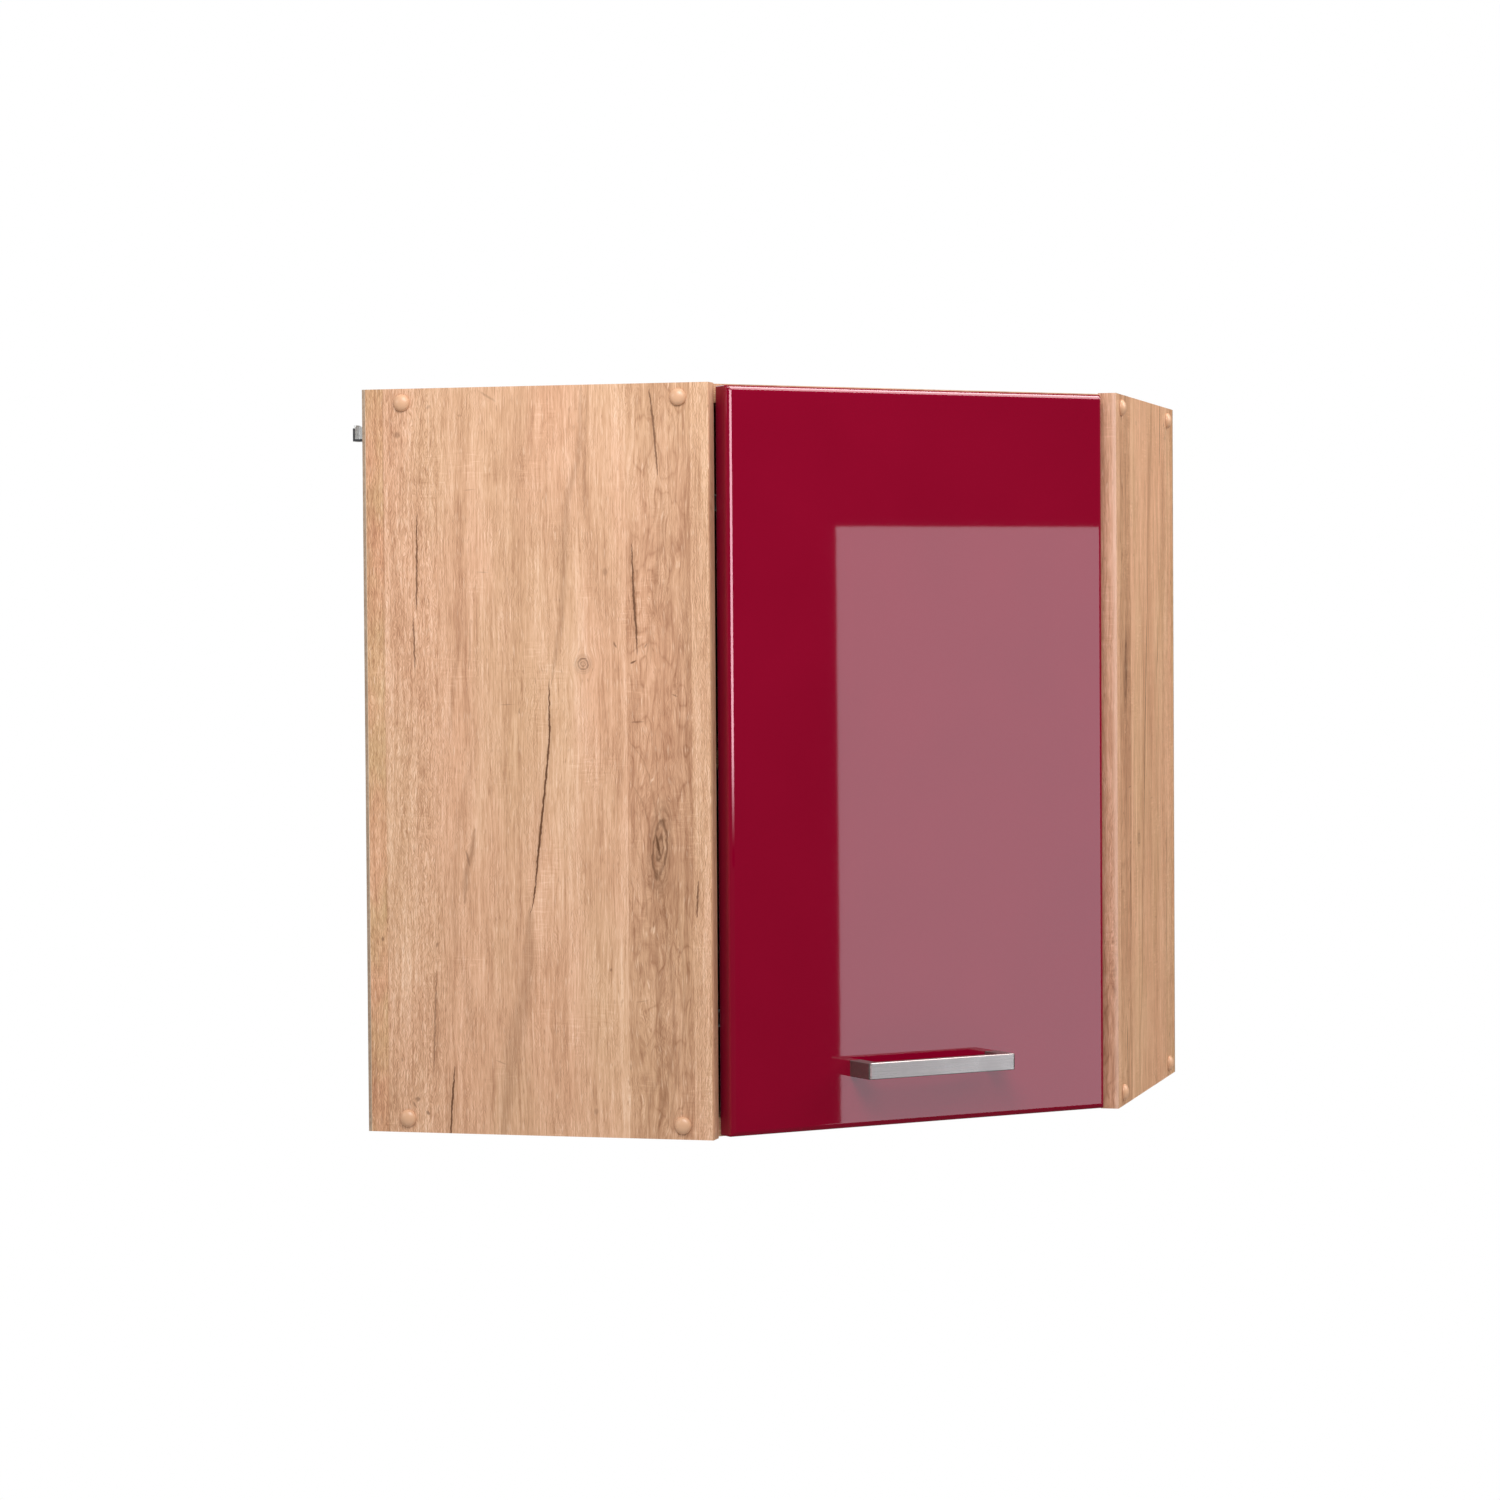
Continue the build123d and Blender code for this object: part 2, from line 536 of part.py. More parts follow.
def slotted(x0, x1, r_body, r_head, x_head, z):
    s = cyl_x(r_body, x0, x_head, yi + 10.0, z)
    s += cyl_x(r_head, x_head, x1, yi + 10.0, z)
    s -= box(x1 - 1.0, x1 + 1, yi + 10.0 - 0.5, yi + 10.0 + 0.5, z - r_head, z + r_head)
    return s


depth_screw = slotted(38.0, 63.2, 2.4, 2.85, 60.4, dz_screw)
height_screw = slotted(50.0, 63.2, 2.4, 2.45, 60.4, hz_screw)


def hanger_screw(x, z, y_head):
    k = cyl_y(1.7, yi - 11.0, y_head, x, z)
    head = cyl_y(3.5, y_head, y_head + 1.9, x, z)
    head -= box(x - 2.0, x + 2.0, y_head + 1.0, y_head + 3, z - 0.4, z + 0.4)
    head -= box(x - 0.4, x + 0.4, y_head + 1.0, y_head + 3, z - 2.0, z + 2.0)
    return k + head


fix_l = [hanger_screw(hang_screw[0][0], hang_screw[0][1], hy0 + 2.2), hanger_screw(hang_screw[1][0], hang_screw[1][1], hy1 - 3.0)]
save("hanger_housing_left", housing)
save("hanger_housing_right", mirror_diag(housing))
save("hanger_carriage_left", car)
save("hanger_carriage_right", mirror_diag(car))
save("hanger_hook_left", hook)
save("hanger_hook_right", mirror_diag(hook))
save("hanger_depth_screw_left", depth_screw)
save("hanger_depth_screw_right", mirror_diag(depth_screw))
save("hanger_height_screws", height_screw, mirror_diag(height_screw))
save("hanger_fixing_screws", *fix_l, *[mirror_diag(s) for s in fix_l])

print("arm pin 1", A1W, "arm pin 2", A2W, "cup pin 1", wo(*C1), "cup pin 2", wo(*C2))
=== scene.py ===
import bpy, bmesh, math
from mathutils import Vector, Matrix


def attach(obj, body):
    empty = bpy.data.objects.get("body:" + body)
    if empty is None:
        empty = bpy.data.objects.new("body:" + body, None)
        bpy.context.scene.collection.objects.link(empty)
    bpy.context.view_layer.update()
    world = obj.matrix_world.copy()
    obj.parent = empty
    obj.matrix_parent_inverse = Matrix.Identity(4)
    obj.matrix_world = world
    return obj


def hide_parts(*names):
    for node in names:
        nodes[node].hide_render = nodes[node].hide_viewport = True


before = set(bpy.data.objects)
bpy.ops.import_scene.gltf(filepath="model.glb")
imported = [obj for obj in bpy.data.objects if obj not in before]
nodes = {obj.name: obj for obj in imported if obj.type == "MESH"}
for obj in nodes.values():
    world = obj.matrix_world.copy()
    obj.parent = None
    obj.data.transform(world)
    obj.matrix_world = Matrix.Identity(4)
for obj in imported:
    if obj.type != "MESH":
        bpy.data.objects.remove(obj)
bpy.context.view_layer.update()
R2 = math.sqrt(2.0)

# --------------------------------------------------------------- camera
cam_data = bpy.data.cameras.new("camera")
cam_data.sensor_width = 36.0
cam_data.sensor_fit = "HORIZONTAL"
cam_data.lens = 4067.31 / 1500.0 * 36.0
cam_data.clip_start = 0.1
cam_data.clip_end = 100.0
cam = bpy.data.objects.new("camera", cam_data)
bpy.context.scene.collection.objects.link(cam)
RIGHT = Vector((0.96451389, 0.26394268, -0.00687092))
UP = Vector((-0.00140885, 0.0311675, 0.99951318))
FWD = Vector((-0.26402834, 0.96403467, -0.03043334))
EYE = Vector((1.23898, -3.87507, 0.43167))
cam.matrix_world = Matrix((
    (RIGHT.x, UP.x, -FWD.x, EYE.x),
    (RIGHT.y, UP.y, -FWD.y, EYE.y),
    (RIGHT.z, UP.z, -FWD.z, EYE.z),
    (0, 0, 0, 1)))
bpy.context.scene.camera = cam
bpy.context.scene.view_settings.view_transform = "Standard"
bpy.context.scene.view_settings.look = "None"


def srgb(r, g, b):
    def f(c):
        c = c / 255.0
        return c / 12.92 if c <= 0.04045 else ((c + 0.055) / 1.055) ** 2.4
    return (f(r), f(g), f(b), 1.0)


# --------------------------------------------------------------- node helper
class Mat:
    """A small builder for node materials. Numbers given as sockets are linked,
    plain numbers are set on the node."""

    def __init__(self, name):
        self.m = bpy.data.materials.new(name)
        self.m.use_nodes = True
        self.t = self.m.node_tree
        self.t.nodes.clear()
        self.out = self.t.nodes.new("ShaderNodeOutputMaterial")
        self.b = self.t.nodes.new("ShaderNodeBsdfPrincipled")
        self.t.links.new(self.b.outputs[0], self.out.inputs[0])
        co = self.t.nodes.new("ShaderNodeTexCoord")
        self.obj = co.outputs["Object"]

    def put(self, sock, v):
        if isinstance(v, bpy.types.NodeSocket):
            self.t.links.new(v, sock)
        else:
            sock.default_value = v

    def math(self, op, a, b=None, c=None, clamp=False):
        n = self.t.nodes.new("ShaderNodeMath")
        n.operation = op
        n.use_clamp = clamp
        self.put(n.inputs[0], a)
        if b is not None:
            self.put(n.inputs[1], b)
        if c is not None:
            self.put(n.inputs[2], c)
        return n.outputs[0]

    def add(self, a, b): return self.math("ADD", a, b)
    def sub(self, a, b): return self.math("SUBTRACT", a, b)
    def mul(self, a, b): return self.math("MULTIPLY", a, b)
    def muladd(self, a, b, c): return self.math("MULTIPLY_ADD", a, b, c)

    def xyz(self):
        n = self.t.nodes.new("ShaderNodeSeparateXYZ")
        self.put(n.inputs[0], self.obj)
        return n.outputs

    def vec(self, x=0.0, y=0.0, z=0.0):
        n = self.t.nodes.new("ShaderNodeCombineXYZ")
        self.put(n.inputs[0], x); self.put(n.inputs[1], y); self.put(n.inputs[2], z)
        return n.outputs[0]

    def noise(self, v, scale=1.0, detail=2.0, rough=0.5, dist=0.0):
        n = self.t.nodes.new("ShaderNodeTexNoise")
        n.noise_dimensions = "3D"
        self.put(n.inputs["Vector"], v)
        n.inputs["Scale"].default_value = scale
        n.inputs["Detail"].default_value = detail
        n.inputs["Roughness"].default_value = rough
        n.inputs["Distortion"].default_value = dist
        return n.outputs[0]

    def voronoi(self, v, scale=1.0, feature="F1", out="Distance"):
        n = self.t.nodes.new("ShaderNodeTexVoronoi")
        n.feature = feature
        self.put(n.inputs["Vector"], v)
        n.inputs["Scale"].default_value = scale
        return n.outputs[out]

    def grid(self, a, b, sa, sb, seed, detail=2.0, rough=0.5, dist=0.0):
        """Noise stretched to a cell of sa by sb."""
        return self.noise(self.vec(self.mul(a, 1.0 / sa), self.mul(b, 1.0 / sb), seed), 1.0, detail, rough, dist)

    def rng(self, v, a, b, c=0.0, d=1.0, smooth=False):
        n = self.t.nodes.new("ShaderNodeMapRange")
        n.interpolation_type = "SMOOTHSTEP" if smooth else "LINEAR"
        n.clamp = True
        self.put(n.inputs["Value"], v)
        n.inputs["From Min"].default_value = a
        n.inputs["From Max"].default_value = b
        n.inputs["To Min"].default_value = c
        n.inputs["To Max"].default_value = d
        return n.outputs[0]

    def curve(self, v, pts, vector=False):
        n = self.t.nodes.new("ShaderNodeFloatCurve")
        c = n.mapping.curves[0]
        pts = sorted(pts)
        while len(c.points) > 2:
            c.points.remove(c.points[1])
        c.points[0].location = pts[0]
        c.points[1].location = pts[-1]
        for p in pts[1:-1]:
            c.points.new(*p)
        for p in c.points:
            p.handle_type = "VECTOR" if vector else "AUTO_CLAMPED"
        n.mapping.use_clip = False
        n.mapping.update()
        self.put(n.inputs["Value"], v)
        return n.outputs[0]

    def ramp(self, v, stops, interp="LINEAR"):
        n = self.t.nodes.new("ShaderNodeValToRGB")
        r = n.color_ramp
        r.interpolation = interp
        while len(r.elements) > 1:
            r.elements.remove(r.elements[0])
        r.elements[0].position = stops[0][0]
        r.elements[0].color = stops[0][1]
        for p, c in stops[1:]:
            e = r.elements.new(p)
            e.color = c
        self.put(n.inputs[0], v)
        return n.outputs[0]

    def mix(self, f, a, b, blend="MIX"):
        n = self.t.nodes.new("ShaderNodeMix")
        n.data_type = "RGBA"
        n.blend_type = blend
        n.clamp_factor = True
        self.put(n.inputs[0], f)
        self.put(n.inputs[6], a)
        self.put(n.inputs[7], b)
        return n.outputs[2]

    def bump(self, h, strength, distance, normal=None):
        n = self.t.nodes.new("ShaderNodeBump")
        n.inputs["Strength"].default_value = strength
        n.inputs["Distance"].default_value = distance
        self.put(n.inputs["Height"], h)
        if normal is not None:
            self.put(n.inputs["Normal"], normal)
        return n.outputs[0]

    def set(self, **kw):
        names = {"color": "Base Color", "rough": "Roughness", "metal": "Metallic", "normal": "Normal", "coat": "Coat Weight",
                 "coat_rough": "Coat Roughness", "coat_normal": "Coat Normal", "spec": "Specular IOR Level", "ior": "IOR",
                 "aniso": "Anisotropic", "trans": "Transmission Weight", "alpha": "Alpha"}
        for k, v in kw.items():
            self.put(self.b.inputs[names[k]], v)
        return self.m


# --------------------------------------------------------------- oak decor
# (u, v) in millimetres: u across the grain from the rear edge, v along it.
CRACKS = [
    # points (v, u), half width, strength
    ([(389.8, 166.1), (347.5, 166.2), (327.2, 164.9), (284.8, 160.3), (234.7, 154.6), (202.4, 151.1), (186.0, 146.5)], 0.85, 1.0),
    ([(530.0, 48.8), (508.8, 48.6), (473.0, 48.2), (446.0, 47.6)], 0.62, 0.85),
    ([(441.5, 44.6), (421.0, 45.3), (397.0, 46.0)], 0.55, 0.8),
    ([(503.0, 240.0), (494.7, 240.3), (451.8, 241.7), (430.0, 243.4), (406.0, 244.2)], 0.8, 0.9),
    ([(632.0, 256.4), (603.3, 259.6), (584.1, 261.2), (558.0, 263.6)], 0.8, 0.75),
    ([(219.0, 296.2), (203.0, 295.6), (187.0, 294.8)], 0.6, 0.8),
    ([(140.0, 62.8), (95.0, 61.2), (50.0, 59.6)], 0.5, 0.55),
    ([(58.0, 78.6), (30.0, 76.4), (-6.0, 74.0)], 0.75, 0.95),
]
VEINS = [
    ([(640.0, 196.8), (586.0, 194.6), (533.0, 183.0), (446.0, 178.0), (404.0, 171.5), (380.0, 167.5)], 3.2, 0.34),
    ([(640.0, 203.0), (600.0, 200.5), (548.0, 199.0), (520.0, 198.5)], 1.0, 0.34),
    ([(640.0, 18.8), (474.0, 18.3), (330.0, 17.0)], 0.8, 0.34),
    ([(196.0, 147.5), (139.4, 145.0), (80.0, 133.0), (17.0, 124.0), (-10.0, 121.0)], 7.0, 0.34),
    ([(262.0, 98.5), (242.0, 96.0), (221.0, 90.5), (195.0, 88.5)], 2.6, 0.55),
    ([(334.0, 237.0), (324.0, 246.0), (308.0, 253.0), (288.0, 257.5), (268.0, 260.0)], 0.7, 0.42),
    ([(302.0, 236.5), (292.0, 243.5), (278.0, 250.0), (258.0, 254.5)], 0.7, 0.36),
    ([(258.0, 237.0), (240.0, 244.0), (215.0, 249.0), (180.0, 252.0)], 0.9, 0.24),
    ([(222.0, 264.0), (160.0, 270.0), (100.0, 274.0), (40.0, 266.0), (-6.0, 256.0)], 1.6, 0.34),
    ([(200.0, 258.0), (150.0, 260.0), (90.0, 262.0), (30.0, 252.0), (-6.0, 246.0)], 2.2, 0.22),
    ([(230.0, 273.0), (180.0, 280.0), (120.0, 283.0), (60.0, 277.0), (0.0, 266.0)], 1.2, 0.28),
    ([(560.0, 263.0), (520.0, 268.0), (480.0, 262.0), (430.0, 258.0), (400.0, 256.0)], 2.6, 0.2),
    ([(470.0, 262.0), (446.0, 258.5), (420.0, 255.0), (398.0, 250.0)], 0.8, 0.3),
    ([(330.0, 100.0), (260.0, 84.0), (190.0, 80.0), (100.0, 92.0), (50.0, 86.0)], 4.0, 0.15),
    ([(420.0, 88.0), (380.0, 80.0), (330.0, 76.0)], 2.0, 0.22),
    ([(440.0, 96.0), (410.0, 95.5), (395.0, 94.0)], 0.8, 0.35),
]
SPOTS = [
    # u, v, half sizes, turn in degrees, strength
    (240.8, 402.2, 3.6, 0.9, 24.0, 0.85), (243.8, 351.7, 7.2, 0.6, 2.0, 0.5), (225.0, 416.6, 0.9, 3.4, 30.0, 0.6),
    (252.0, 416.0, 0.8, 2.8, -32.0, 0.55), (14.5, 165.6, 1.5, 2.2, 0.0, 0.6), (63.5, 161.2, 1.6, 2.6, -25.0, 0.45),
    (219.0, 142.2, 1.2, 1.6, 0.0, 0.5), (216.5, 478.1, 2.6, 3.4, 0.0, 0.32), (53.9, 16.9, 1.7, 2.2, 20.0, 0.6),
    (45.0, 28.6, 2.4, 2.4, 0.0, 0.55), (42.0, 24.0, 1.0, 3.4, 30.0, 0.55), (139.5, 361.0, 0.7, 2.8, 4.0, 0.5),
    (128.0, 366.5, 7.0, 0.5, 2.0, 0.32), (96.0, 549.0, 6.0, 0.5, 4.0, 0.28), (31.5, 596.5, 3.0, 3.0, 0.0, 0.4),
    (107.0, 479.0, 6.0, 0.6, -3.0, 0.28), (277.0, 374.0, 3.0, 0.7, -25.0, 0.5), (205.0, 22.0, 2.2, 3.0, 0.0, 0.3),
    (280.5, 22.0, 1.4, 1.8, 0.0, 0.3), (31.0, 62.0, 1.0, 2.0, 10.0, 0.4), (113.0, 628.0, 9.0, 1.2, -32.0, 0.3),
    (236.0, 60.0, 1.1, 2.8, 0.0, 0.2), (120.0, 62.0, 6.0, 0.6, -20.0, 0.28), (246.0, 116.0, 5.0, 0.6, 10.0, 0.3), (261.4, 247.0, 1.6, 13.0, 10.7, 1.0), (196.2, 405.2, 4.2, 0.7, 6.0, 0.7),
    (196.6, 396.4, 3.6, 0.7, -8.0, 0.6), (92.0, 236.0, 1.3, 7.0, 14.0, 0.5), (60.0, 620.0, 2.6, 1.6, 30.0, 0.3), (88.0, 612.0, 2.2, 1.4, 0.0, 0.25),
]
KNOTS = [
    # u, v, ring half sizes, turn
    (262.9, 245.5, 5.8, 22.0, -5.0, 1.05),
    (196.4, 400.7, 4.3, 4.5, 0.0, 0.9),
]


def oak(name, u, v, features=True, light=1.0, seed=0.0, rough=0.5, spec=0.35):
    """Rustic oak print. u and v are functions of the builder and the object
    coordinates that return sockets in millimetres."""
    M = Mat(name)
    s = M.xyz()
    u = u(M, s)
    v = v(M, s)
    # wandering of the grain
    w1 = M.sub(M.grid(u, v, 46.0, 240.0, seed + 1.3, 2.0), 0.5)
    w2 = M.sub(M.grid(u, v, 11.0, 62.0, seed + 7.1, 2.0), 0.5)
    w3 = M.sub(M.grid(u, v, 4.0, 15.0, seed + 3.3, 1.0), 0.5)
    if features:
        fig = M.mul(M.rng(u, 233.0, 240.0), M.rng(u, 293.0, 287.0))       # figured board
        lump = M.rng(u, 86.0, 60.0)                                       # wavy board at the rear
    else:
        fig = M.rng(M.grid(u, v, 70.0, 420.0, seed + 21.0, 1.0), 0.56, 0.62)
        lump = M.rng(M.grid(u, v, 60.0, 500.0, seed + 25.0, 1.0), 0.55, 0.62)
    amp1 = M.muladd(fig, 10.0, 13.0)
    amp2 = M.muladd(fig, 7.0, 2.6)
    uw = M.muladd(w1, amp1, u)
    uw = M.muladd(w2, amp2, uw)
    uw = M.muladd(w3, M.muladd(lump, 1.3, 0.35), uw)
    if features:
        for ku, kv, ka, kb, kt, ks in KNOTS:
            du = M.sub(u, ku)
            dv = M.sub(v, kv)
            a = M.mul(du, 1.0 / (ka * 2.6))
            b = M.mul(dv, 1.0 / (kb * 2.4))
            g = M.math("POWER", 2.718, M.mul(M.add(M.mul(a, a), M.mul(b, b)), -1.0))
            uw = M.sub(uw, M.mul(M.mul(g, du), 0.82))
    # layers of grain
    broad = M.grid(uw, v, 19.0, 620.0, seed + 11.0, 3.0, 0.55)
    med = M.grid(uw, v, 5.2, 210.0, seed + 12.0, 3.0, 0.6)
    fine = M.grid(uw, v, 1.45, 58.0, seed + 13.0, 2.0, 0.6)
    hair = M.grid(uw, v, 0.85, 15.0, seed + 14.0, 1.0, 0.5)
    wavy = M.grid(uw, v, 2.1, 8.5, seed + 15.0, 2.0, 0.55)
    cloud = M.grid(u, v, 34.0, 90.0, seed + 16.0, 3.0, 0.6)
    t = M.muladd(M.sub(broad, 0.5), 0.55, 0.5)
    t = M.muladd(M.sub(med, 0.5), 0.46, t)
    t = M.muladd(M.sub(fine, 0.5), 0.60, t)
    t = M.muladd(M.sub(hair, 0.5), 0.42, t)
    t = M.muladd(M.sub(wavy, 0.5), M.muladd(lump, 0.42, 0.10), t)
    t = M.muladd(M.sub(cloud, 0.5), 0.36, t)

    # broken relief: thin crooked ridges, each with a lit and a shaded side; in the colour this is a painted highlight
    # beside a dark line, and the same pair also serves as bump height
    def ridge(x, half):
        return M.rng(M.math("ABSOLUTE", M.sub(x, 0.5)), 0.0, half, 1.0, 0.0)

    us = M.muladd(w3, 2.2, uw)
    r1 = ridge(M.grid(us, v, 2.3, 10.5, seed + 81.0, 2.0, 0.6), 0.085)
    r2 = ridge(M.grid(M.add(us, 0.62), v, 2.3, 10.5, seed + 81.0, 2.0, 0.6), 0.085)
    patch = M.rng(M.grid(u, v, 20.0, 60.0, seed + 82.0, 2.0, 0.6), 0.46, 0.62)
    relief = M.math("MAXIMUM", M.mul(patch, 0.7), lump)
    if features:
        relief = M.math("MAXIMUM", relief, M.rng(u, 288.0, 293.0, 0.0, 0.85))
    emboss_highlight_and_height = M.sub(r2, r1)
    # painted highlight and shade: the ridge pair lightens and darkens the colour value t
    t = M.muladd(emboss_highlight_and_height, M.muladd(relief, 0.13, 0.035), t)
    # growth rings cut lengthwise
    fl = M.grid(M.muladd(w2, 5.0, u), v, 24.0, 360.0, seed + 85.0, 2.0, 0.5)
    tri = M.math("ABSOLUTE", M.muladd(M.math("FRACT", M.mul(fl, 9.0)), 2.0, -1.0))
    t = M.sub(t, M.mul(M.rng(tri, 0.0, 0.34, 0.10, 0.0), M.rng(patch, 1.0, 0.0, 0.3, 1.0)))
    # flowing figure
    fg = M.grid(M.muladd(w2, 9.0, u), M.muladd(w1, 30.0, v), 27.0, 78.0, seed + 86.0, 2.0, 0.5)
    fr = M.math("ABSOLUTE", M.muladd(M.math("FRACT", M.mul(fg, 8.0)), 2.0, -1.0))
    t = M.muladd(M.mul(M.sub(fr, 0.5), fig), 0.09, t)
    t = M.sub(t, M.mul(M.mul(M.rng(fr, 0.0, 0.24, 1.0, 0.0), fig), M.rng(cloud, 0.4, 0.62, 0.04, 0.19)))
    # rays: short bright dashes across the grain
    ray = M.grid(u, v, 15.0, 1.9, seed + 87.0, 2.0, 0.5)
    rayz = M.rng(M.grid(u, v, 46.0, 60.0, seed + 88.0, 1.0), 0.54, 0.66)
    t = M.muladd(M.mul(M.rng(ray, 0.56, 0.72), rayz), 0.13, t)
    t = M.sub(t, M.mul(M.mul(M.rng(ray, 0.42, 0.30), rayz), 0.08))
    if features:
        board = M.ramp(M.mul(M.muladd(w3, 1.2, M.muladd(w2, 2.0, u)), 1.0 / 310.0), [
            (0.0, (0.45,) * 3 + (1,)), (18.6 / 310, (0.53,) * 3 + (1,)), (84.0 / 310, (0.50,) * 3 + (1,)),
            (180.7 / 310, (0.56,) * 3 + (1,)), (234.6 / 310, (0.365,) * 3 + (1,)), (290.7 / 310, (0.56,) * 3 + (1,))], "CONSTANT")
        t = M.muladd(M.sub(board, 0.5), 0.95, t)
        t = M.muladd(fig, M.rng(v, 330.0, 520.0, -0.02, 0.08), t)
        t = M.muladd(fig, M.rng(v, 230.0, 110.0, 0.0, 0.07), t)
    else:
        t = M.muladd(fig, -0.10, t)
    col = M.ramp(t, [(0.0, srgb(154, 107, 77)), (0.30, srgb(188, 142, 110)), (0.50, srgb(211, 166, 132)),
                     (0.68, srgb(227, 184, 152)), (0.90, srgb(242, 206, 178))])
    # warm and cool drifts
    hue = M.grid(u, v, 55.0, 260.0, seed + 31.0, 2.0, 0.5)
    col = M.mix(M.rng(hue, 0.42, 0.72, 0.0, 0.5), col, M.mix(1.0, col, (1.05, 0.955, 0.93, 1), "MULTIPLY"))
    col = M.mix(M.rng(hue, 0.56, 0.28, 0.0, 0.6), col, M.mix(1.0, col, (0.975, 1.005, 0.93, 1), "MULTIPLY"))
    if features:
        col = M.mix(M.mul(fig, 0.75), col, M.mix(1.0, col, (0.97, 0.965, 0.965, 1), "MULTIPLY"))
        rear = M.rng(M.muladd(w3, 0.8, u), 19.2, 18.2)
        tint = M.ramp(M.grid(u, v, 30.0, 70.0, seed + 33.0, 2.0), [(0.38, (0.93, 0.98, 0.84, 1)), (0.6, (1.03, 0.95, 0.90, 1))])
        col = M.mix(M.mul(rear, 0.8), col, M.mix(1.0, col, tint, "MULTIPLY"))
    # pores: short dark dashes, and light flecks
    pore = M.grid(uw, v, 0.72, 8.5, seed + 41.0, 1.0, 0.4)
    dens = M.grid(uw, v, 9.0, 70.0, seed + 42.0, 2.0)
    pth = M.rng(pore, 0.635, 0.72)
    pth = M.mul(pth, M.rng(dens, 0.40, 0.62, 0.15, 1.0))
    pth = M.math("MAXIMUM", pth, M.mul(M.mul(r1, relief), 0.36))
    col = M.mix(M.mul(pth, 0.6), col, srgb(146, 102, 72))
    fleck = M.grid(uw, v, 0.9, 14.0, seed + 43.0, 1.0, 0.4)
    col = M.mix(M.rng(fleck, 0.64, 0.74, 0.0, 0.5), col, srgb(248, 214, 184))
    height = M.muladd(fine, 0.5, M.mul(hair, 0.35))
    height = M.muladd(pth, -0.5, height)
    height = M.muladd(M.mul(emboss_highlight_and_height, relief), 0.10, height)
    if features:
        wig = M.muladd(M.sub(M.grid(u, v, 6.0, 7.0, seed + 51.0, 2.0), 0.5), 1.9, u)
        wig = M.muladd(M.sub(M.grid(u, v, 2.2, 3.4, seed + 54.0, 1.0), 0.5), 1.1, wig)
        brk = M.grid(u, v, 3.0, 11.0, seed + 52.0, 2.0)
        soft = None
        dark = None

        def line(pts, half, strength, softness):
            vs = [p[0] for p in pts]
            us = [p[1] for p in pts]
            v0, v1, u0, u1 = min(vs), max(vs), min(us) - 2.0, max(us) + 2.0
            tt = M.rng(v, v0, v1)
            c = M.curve(tt, [((p[0] - v0) / (v1 - v0), (p[1] - u0) / (u1 - u0)) for p in pts])
            d = M.math("ABSOLUTE", M.sub(wig, M.muladd(c, u1 - u0, u0)))
            prof = M.curve(tt, [(0.0, 0.0), (0.12, 0.62), (0.4, 1.0), (0.7, 0.85), (0.93, 0.45), (1.0, 0.0)])
            wid = M.mul(M.muladd(M.sub(brk, 0.5), 1.1, 1.0), M.mul(prof, half))
            f = M.math("DIVIDE", d, M.math("MAXIMUM", wid, 0.01))
            f = M.rng(f, 1.0 + softness, 1.0 - softness if softness < 1 else 0.0, 0.0, strength, True)
            return f

        for pts, half, strength in CRACKS:
            f = line(pts, half * 1.15, strength, 0.5)
            dark = f if dark is None else M.math("MAXIMUM", dark, f)
            h = line(pts, half * 4.5, strength * 0.20, 0.9)
            soft = h if soft is None else M.math("MAXIMUM", soft, h)
        for pts, half, strength in VEINS:
            f = line(pts, half, strength, 0.9)
            soft = M.math("MAXIMUM", soft, f)
        for su, sv, a, b, turn, strength in SPOTS:
            ca, sa = math.cos(math.radians(turn)), math.sin(math.radians(turn))
            du = M.sub(wig, su)
            dv = M.sub(v, sv)
            p = M.mul(M.add(M.mul(du, ca), M.mul(dv, sa)), 1.0 / a)
            q = M.mul(M.sub(M.mul(dv, ca), M.mul(du, sa)), 1.0 / b)
            r = M.math("SQRT", M.add(M.mul(p, p), M.mul(q, q)))
            r = M.muladd(M.sub(brk, 0.5), 0.9, r)
            f = M.rng(r, 1.25, 0.35, 0.0, strength, True)
            dark = M.math("MAXIMUM", dark, f)
        for ku, kv, a, b, turn, strength in KNOTS:
            ca, sa = math.cos(math.radians(turn)), math.sin(math.radians(turn))
            nz = M.sub(M.grid(u, v, a * 1.1, b * 0.42, seed + 61.0, 2.0), 0.5)
            nz2 = M.sub(M.grid(u, v, a * 1.1, b * 0.42, seed + 67.0, 2.0), 0.5)
            du = M.muladd(nz, a * 0.75, M.sub(u, ku))
            dv = M.muladd(nz2, b * 0.5, M.sub(v, kv))
            p = M.mul(M.add(M.mul(du, ca), M.mul(dv, sa)), 1.0 / a)
            q = M.mul(M.sub(M.mul(dv, ca), M.mul(du, sa)), 1.0 / b)
            r = M.math("SQRT", M.add(M.mul(p, p), M.mul(q, q)))
            g = [0.55, 0.30, 0.42, 0.95, 0.32, 0.22, 0.70, 0.92, 0.30, 0.16, 0.42, 0.14, 0.24, 0.06, 0.0]
            ring = M.ramp(M.mul(r, 1.0 / 2.1), [(i / (len(g) - 1), (x * strength,) * 3 + (1,)) for i, x in enumerate(g)])
            ring = M.mul(ring, M.rng(brk, 0.25, 0.6, 0.55, 1.0))
            dark = M.math("MAXIMUM", dark, M.mul(ring, 0.85))
        soft = M.mul(soft, M.rng(M.grid(uw, v, 1.6, 40.0, seed + 71.0, 2.0), 0.25, 0.7, 0.55, 1.25))
        col = M.mix(soft, col, srgb(146, 104, 74))
        col = M.mix(dark, col, srgb(104, 68, 43))
        height = M.muladd(dark, -1.1, height)
    if name == "edge_band_right":
